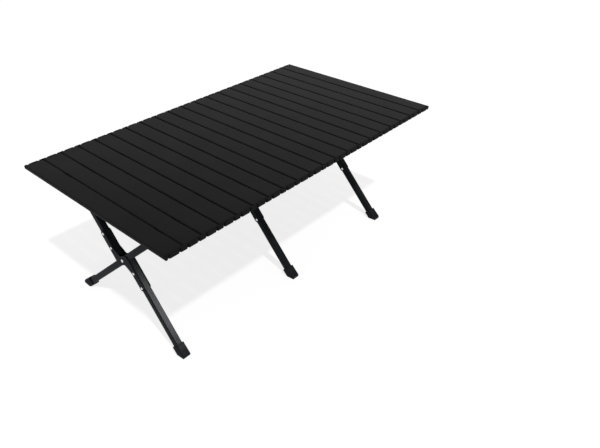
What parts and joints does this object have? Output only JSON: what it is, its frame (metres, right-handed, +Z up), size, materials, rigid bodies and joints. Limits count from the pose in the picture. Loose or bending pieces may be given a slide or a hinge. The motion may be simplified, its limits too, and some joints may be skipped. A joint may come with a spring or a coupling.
{
  "type": "roll top camp table",
  "caption": "Low folding camp table: a top of hinged slats that lifts off and rolls up, on X frames of square tube that fold flat in both directions.",
  "frame": {"origin": "on the floor, under the middle of the top", "axes": "+X along the table, +Y across it to the far side, +Z up"},
  "size_m": [1.196, 0.6, 0.44],
  "materials": {
    "slat_coat": "matte black powder coat on extruded aluminium",
    "frame_coat": "satin black paint on steel tube",
    "moulded_nylon": "moulded, fine texture",
    "boot_rubber": "moulded, matte grey-black",
    "rivet_steel": "bright zinc"
  },
  "bodies": {
    "slat_01": {"slat_01": "slat_coat", "catches_left": "moulded_nylon"},
    "slat_02": {"slat_02": "slat_coat"},
    "slat_03": {"slat_03": "slat_coat"},
    "slat_04": {"slat_04": "slat_coat"},
    "slat_05": {"slat_05": "slat_coat"},
    "slat_06": {"slat_06": "slat_coat"},
    "slat_07": {"slat_07": "slat_coat"},
    "slat_08": {"slat_08": "slat_coat"},
    "slat_09": {"slat_09": "slat_coat"},
    "slat_10": {"slat_10": "slat_coat"},
    "slat_11": {"slat_11": "slat_coat"},
    "slat_12": {"slat_12": "slat_coat"},
    "slat_13": {"slat_13": "slat_coat"},
    "slat_14": {"slat_14": "slat_coat"},
    "slat_15": {"slat_15": "slat_coat"},
    "slat_16": {"slat_16": "slat_coat"},
    "slat_17": {"slat_17": "slat_coat"},
    "slat_18": {"slat_18": "slat_coat"},
    "slat_19": {"slat_19": "slat_coat"},
    "slat_20": {"slat_20": "slat_coat", "catches_right": "moulded_nylon"},
    "near_head_left": {"near_head_left": "moulded_nylon"},
    "near_head_mid": {"near_head_mid": "moulded_nylon"},
    "near_head_right": {"near_head_right": "moulded_nylon"},
    "near_inner_link_left": {"near_inner_link_left": "frame_coat"},
    "near_outer_link_left": {"near_outer_link_left": "frame_coat"},
    "near_inner_link_right": {"near_inner_link_right": "frame_coat"},
    "near_outer_link_right": {"near_outer_link_right": "frame_coat"},
    "far_head_left": {"far_head_left": "moulded_nylon"},
    "far_head_mid": {"far_head_mid": "moulded_nylon"},
    "far_head_right": {"far_head_right": "moulded_nylon"},
    "far_inner_link_left": {"far_inner_link_left": "frame_coat"},
    "far_outer_link_left": {"far_outer_link_left": "frame_coat"},
    "far_inner_link_right": {"far_inner_link_right": "frame_coat"},
    "far_outer_link_right": {"far_outer_link_right": "frame_coat"},
    "straight_leg_left": {"straight_leg_left": "frame_coat", "straight_foot_left": "boot_rubber"},
    "split_leg_left": {"split_lower_tube_left": "frame_coat", "split_upper_tube_left": "frame_coat", "split_foot_left": "boot_rubber", "cross_bracket_left": "frame_coat", "cross_rivets_left": "rivet_steel", "top_lug_left": "moulded_nylon"},
    "straight_leg_mid": {"straight_leg_mid": "frame_coat", "straight_foot_mid": "boot_rubber"},
    "split_leg_mid": {"split_lower_tube_mid": "frame_coat", "split_upper_tube_mid": "frame_coat", "split_foot_mid": "boot_rubber", "cross_bracket_mid": "frame_coat", "cross_rivets_mid": "rivet_steel", "top_lug_mid": "moulded_nylon"},
    "straight_leg_right": {"straight_leg_right": "frame_coat", "straight_foot_right": "boot_rubber"},
    "split_leg_right": {"split_lower_tube_right": "frame_coat", "split_upper_tube_right": "frame_coat", "split_foot_right": "boot_rubber", "cross_bracket_right": "frame_coat", "cross_rivets_right": "rivet_steel", "top_lug_right": "moulded_nylon"}
  },
  "joints": [
    {"name": "top_lift", "type": "slide", "parent": "near_head_mid", "child": "slat_09", "axis": [0, 0, 1], "range_m": [0, 0.25]},
    {"name": "top_roll", "type": "hinge", "parent": "slat_09", "child": "slat_10", "pos_m": [-0.06, 0, 0.4355], "axis": [0, -1, 0], "range_deg": [0, 38.31]},
    {"name": "slat_roll_10", "type": "hinge", "parent": "slat_10", "child": "slat_11", "pos_m": [0, 0, 0.4355], "axis": [0, -1, 0], "range_deg": [0, 39.63]},
    {"name": "slat_roll_11", "type": "hinge", "parent": "slat_11", "child": "slat_12", "pos_m": [0.06, 0, 0.4355], "axis": [0, -1, 0], "range_deg": [0, 41.08]},
    {"name": "slat_roll_12", "type": "hinge", "parent": "slat_12", "child": "slat_13", "pos_m": [0.12, 0, 0.4355], "axis": [0, -1, 0], "range_deg": [0, 42.7]},
    {"name": "slat_roll_13", "type": "hinge", "parent": "slat_13", "child": "slat_14", "pos_m": [0.18, 0, 0.4355], "axis": [0, -1, 0], "range_deg": [0, 44.52]},
    {"name": "slat_roll_14", "type": "hinge", "parent": "slat_14", "child": "slat_15", "pos_m": [0.24, 0, 0.4355], "axis": [0, -1, 0], "range_deg": [0, 46.59]},
    {"name": "slat_roll_15", "type": "hinge", "parent": "slat_15", "child": "slat_16", "pos_m": [0.3, 0, 0.4355], "axis": [0, -1, 0], "range_deg": [0, 48.98]},
    {"name": "slat_roll_16", "type": "hinge", "parent": "slat_16", "child": "slat_17", "pos_m": [0.36, 0, 0.4355], "axis": [0, -1, 0], "range_deg": [0, 51.76]},
    {"name": "slat_roll_17", "type": "hinge", "parent": "slat_17", "child": "slat_18", "pos_m": [0.42, 0, 0.4355], "axis": [0, -1, 0], "range_deg": [0, 55.06]},
    {"name": "slat_roll_18", "type": "hinge", "parent": "slat_18", "child": "slat_19", "pos_m": [0.48, 0, 0.4355], "axis": [0, -1, 0], "range_deg": [0, 59.05]},
    {"name": "slat_roll_19", "type": "hinge", "parent": "slat_19", "child": "slat_20", "pos_m": [0.54, 0, 0.4355], "axis": [0, -1, 0], "range_deg": [0, 64.02]},
    {"name": "slat_roll_08", "type": "hinge", "parent": "slat_09", "child": "slat_08", "pos_m": [-0.12, 0, 0.4355], "axis": [0, 1, 0], "range_deg": [0, 37.13]},
    {"name": "slat_roll_07", "type": "hinge", "parent": "slat_08", "child": "slat_07", "pos_m": [-0.18, 0, 0.4355], "axis": [0, 1, 0], "range_deg": [0, 36.05]},
    {"name": "slat_roll_06", "type": "hinge", "parent": "slat_07", "child": "slat_06", "pos_m": [-0.24, 0, 0.4355], "axis": [0, 1, 0], "range_deg": [0, 35.05]},
    {"name": "slat_roll_05", "type": "hinge", "parent": "slat_06", "child": "slat_05", "pos_m": [-0.3, 0, 0.4355], "axis": [0, 1, 0], "range_deg": [0, 34.13]},
    {"name": "slat_roll_04", "type": "hinge", "parent": "slat_05", "child": "slat_04", "pos_m": [-0.36, 0, 0.4355], "axis": [0, 1, 0], "range_deg": [0, 33.28]},
    {"name": "slat_roll_03", "type": "hinge", "parent": "slat_04", "child": "slat_03", "pos_m": [-0.42, 0, 0.4355], "axis": [0, 1, 0], "range_deg": [0, 32.49]},
    {"name": "slat_roll_02", "type": "hinge", "parent": "slat_03", "child": "slat_02", "pos_m": [-0.48, 0, 0.4355], "axis": [0, 1, 0], "range_deg": [0, 31.75]},
    {"name": "slat_roll_01", "type": "hinge", "parent": "slat_02", "child": "slat_01", "pos_m": [-0.54, 0, 0.4355], "axis": [0, 1, 0], "range_deg": [0, 31.06]},
    {"name": "width_fold", "type": "hinge", "parent": "near_head_mid", "child": "straight_leg_mid", "pos_m": [0, -0.186, 0.401], "axis": [-1, 0, 0], "range_deg": [0, 41]},
    {"name": "cross_pivot_mid", "type": "hinge", "parent": "straight_leg_mid", "child": "split_leg_mid", "pos_m": [0, 0.007, 0.208], "axis": [1, 0, 0], "range_deg": [0, 82]},
    {"name": "far_head_fold_mid", "type": "hinge", "parent": "split_leg_mid", "child": "far_head_mid", "pos_m": [0, 0.2, 0.401], "axis": [-1, 0, 0], "range_deg": [0, 41]},
    {"name": "straight_leg_fold_left", "type": "hinge", "parent": "near_head_left", "child": "straight_leg_left", "pos_m": [-0.488, -0.186, 0.401], "axis": [-1, 0, 0], "range_deg": [0, 41]},
    {"name": "cross_pivot_left", "type": "hinge", "parent": "straight_leg_left", "child": "split_leg_left", "pos_m": [-0.488, 0.007, 0.208], "axis": [1, 0, 0], "range_deg": [0, 82]},
    {"name": "far_head_fold_left", "type": "hinge", "parent": "split_leg_left", "child": "far_head_left", "pos_m": [-0.488, 0.2, 0.401], "axis": [-1, 0, 0], "range_deg": [0, 41]},
    {"name": "straight_leg_fold_right", "type": "hinge", "parent": "near_head_right", "child": "straight_leg_right", "pos_m": [0.488, -0.186, 0.401], "axis": [-1, 0, 0], "range_deg": [0, 41]},
    {"name": "cross_pivot_right", "type": "hinge", "parent": "straight_leg_right", "child": "split_leg_right", "pos_m": [0.488, 0.007, 0.208], "axis": [1, 0, 0], "range_deg": [0, 82]},
    {"name": "far_head_fold_right", "type": "hinge", "parent": "split_leg_right", "child": "far_head_right", "pos_m": [0.488, 0.2, 0.401], "axis": [-1, 0, 0], "range_deg": [0, 41]},
    {"name": "length_fold", "type": "hinge", "parent": "near_head_mid", "child": "near_inner_link_left", "pos_m": [-0.028, -0.186, 0.418], "axis": [0, -1, 0], "range_deg": [0, 86]},
    {"name": "near_knuckle_left", "type": "hinge", "parent": "near_inner_link_left", "child": "near_outer_link_left", "pos_m": [-0.244, -0.186, 0.418], "axis": [0, 1, 0], "range_deg": [0, 172]},
    {"name": "near_end_fold_left", "type": "hinge", "parent": "near_outer_link_left", "child": "near_head_left", "pos_m": [-0.46, -0.186, 0.418], "axis": [0, -1, 0], "range_deg": [0, 86]},
    {"name": "near_inner_fold_right", "type": "hinge", "parent": "near_head_mid", "child": "near_inner_link_right", "pos_m": [0.028, -0.186, 0.418], "axis": [0, 1, 0], "range_deg": [0, 86]},
    {"name": "near_knuckle_right", "type": "hinge", "parent": "near_inner_link_right", "child": "near_outer_link_right", "pos_m": [0.244, -0.186, 0.418], "axis": [0, -1, 0], "range_deg": [0, 172]},
    {"name": "near_end_fold_right", "type": "hinge", "parent": "near_outer_link_right", "child": "near_head_right", "pos_m": [0.46, -0.186, 0.418], "axis": [0, 1, 0], "range_deg": [0, 86]},
    {"name": "far_inner_fold_left", "type": "hinge", "parent": "far_head_mid", "child": "far_inner_link_left", "pos_m": [-0.028, 0.2, 0.418], "axis": [0, -1, 0], "range_deg": [0, 86]},
    {"name": "far_knuckle_left", "type": "hinge", "parent": "far_inner_link_left", "child": "far_outer_link_left", "pos_m": [-0.244, 0.2, 0.418], "axis": [0, 1, 0], "range_deg": [0, 172]},
    {"name": "far_inner_fold_right", "type": "hinge", "parent": "far_head_mid", "child": "far_inner_link_right", "pos_m": [0.028, 0.2, 0.418], "axis": [0, 1, 0], "range_deg": [0, 86]},
    {"name": "far_knuckle_right", "type": "hinge", "parent": "far_inner_link_right", "child": "far_outer_link_right", "pos_m": [0.244, 0.2, 0.418], "axis": [0, -1, 0], "range_deg": [0, 172]}
  ],
  "couplings": [
    {"joint": "slat_roll_10", "follows": "top_roll", "ratio": 1.0342},
    {"joint": "slat_roll_11", "follows": "top_roll", "ratio": 1.072},
    {"joint": "slat_roll_12", "follows": "top_roll", "ratio": 1.1143},
    {"joint": "slat_roll_13", "follows": "top_roll", "ratio": 1.1619},
    {"joint": "slat_roll_14", "follows": "top_roll", "ratio": 1.216},
    {"joint": "slat_roll_15", "follows": "top_roll", "ratio": 1.2782},
    {"joint": "slat_roll_16", "follows": "top_roll", "ratio": 1.3508},
    {"joint": "slat_roll_17", "follows": "top_roll", "ratio": 1.4369},
    {"joint": "slat_roll_18", "follows": "top_roll", "ratio": 1.5412},
    {"joint": "slat_roll_19", "follows": "top_roll", "ratio": 1.6709},
    {"joint": "slat_roll_08", "follows": "top_roll", "ratio": 0.96897},
    {"joint": "slat_roll_07", "follows": "top_roll", "ratio": 0.94063},
    {"joint": "slat_roll_06", "follows": "top_roll", "ratio": 0.91461},
    {"joint": "slat_roll_05", "follows": "top_roll", "ratio": 0.89061},
    {"joint": "slat_roll_04", "follows": "top_roll", "ratio": 0.86839},
    {"joint": "slat_roll_03", "follows": "top_roll", "ratio": 0.84774},
    {"joint": "slat_roll_02", "follows": "top_roll", "ratio": 0.82848},
    {"joint": "slat_roll_01", "follows": "top_roll", "ratio": 0.81047},
    {"joint": "cross_pivot_mid", "follows": "width_fold", "ratio": 2},
    {"joint": "far_head_fold_mid", "follows": "width_fold", "ratio": 1},
    {"joint": "straight_leg_fold_left", "follows": "width_fold", "ratio": 1},
    {"joint": "cross_pivot_left", "follows": "width_fold", "ratio": 2},
    {"joint": "far_head_fold_left", "follows": "width_fold", "ratio": 1},
    {"joint": "straight_leg_fold_right", "follows": "width_fold", "ratio": 1},
    {"joint": "cross_pivot_right", "follows": "width_fold", "ratio": 2},
    {"joint": "far_head_fold_right", "follows": "width_fold", "ratio": 1},
    {"joint": "near_knuckle_left", "follows": "length_fold", "ratio": 2},
    {"joint": "near_end_fold_left", "follows": "length_fold", "ratio": 1},
    {"joint": "near_inner_fold_right", "follows": "length_fold", "ratio": 1},
    {"joint": "near_knuckle_right", "follows": "length_fold", "ratio": 2},
    {"joint": "near_end_fold_right", "follows": "length_fold", "ratio": 1},
    {"joint": "far_inner_fold_left", "follows": "length_fold", "ratio": 1},
    {"joint": "far_knuckle_left", "follows": "length_fold", "ratio": 2},
    {"joint": "far_inner_fold_right", "follows": "length_fold", "ratio": 1},
    {"joint": "far_knuckle_right", "follows": "length_fold", "ratio": 2}
  ]
}
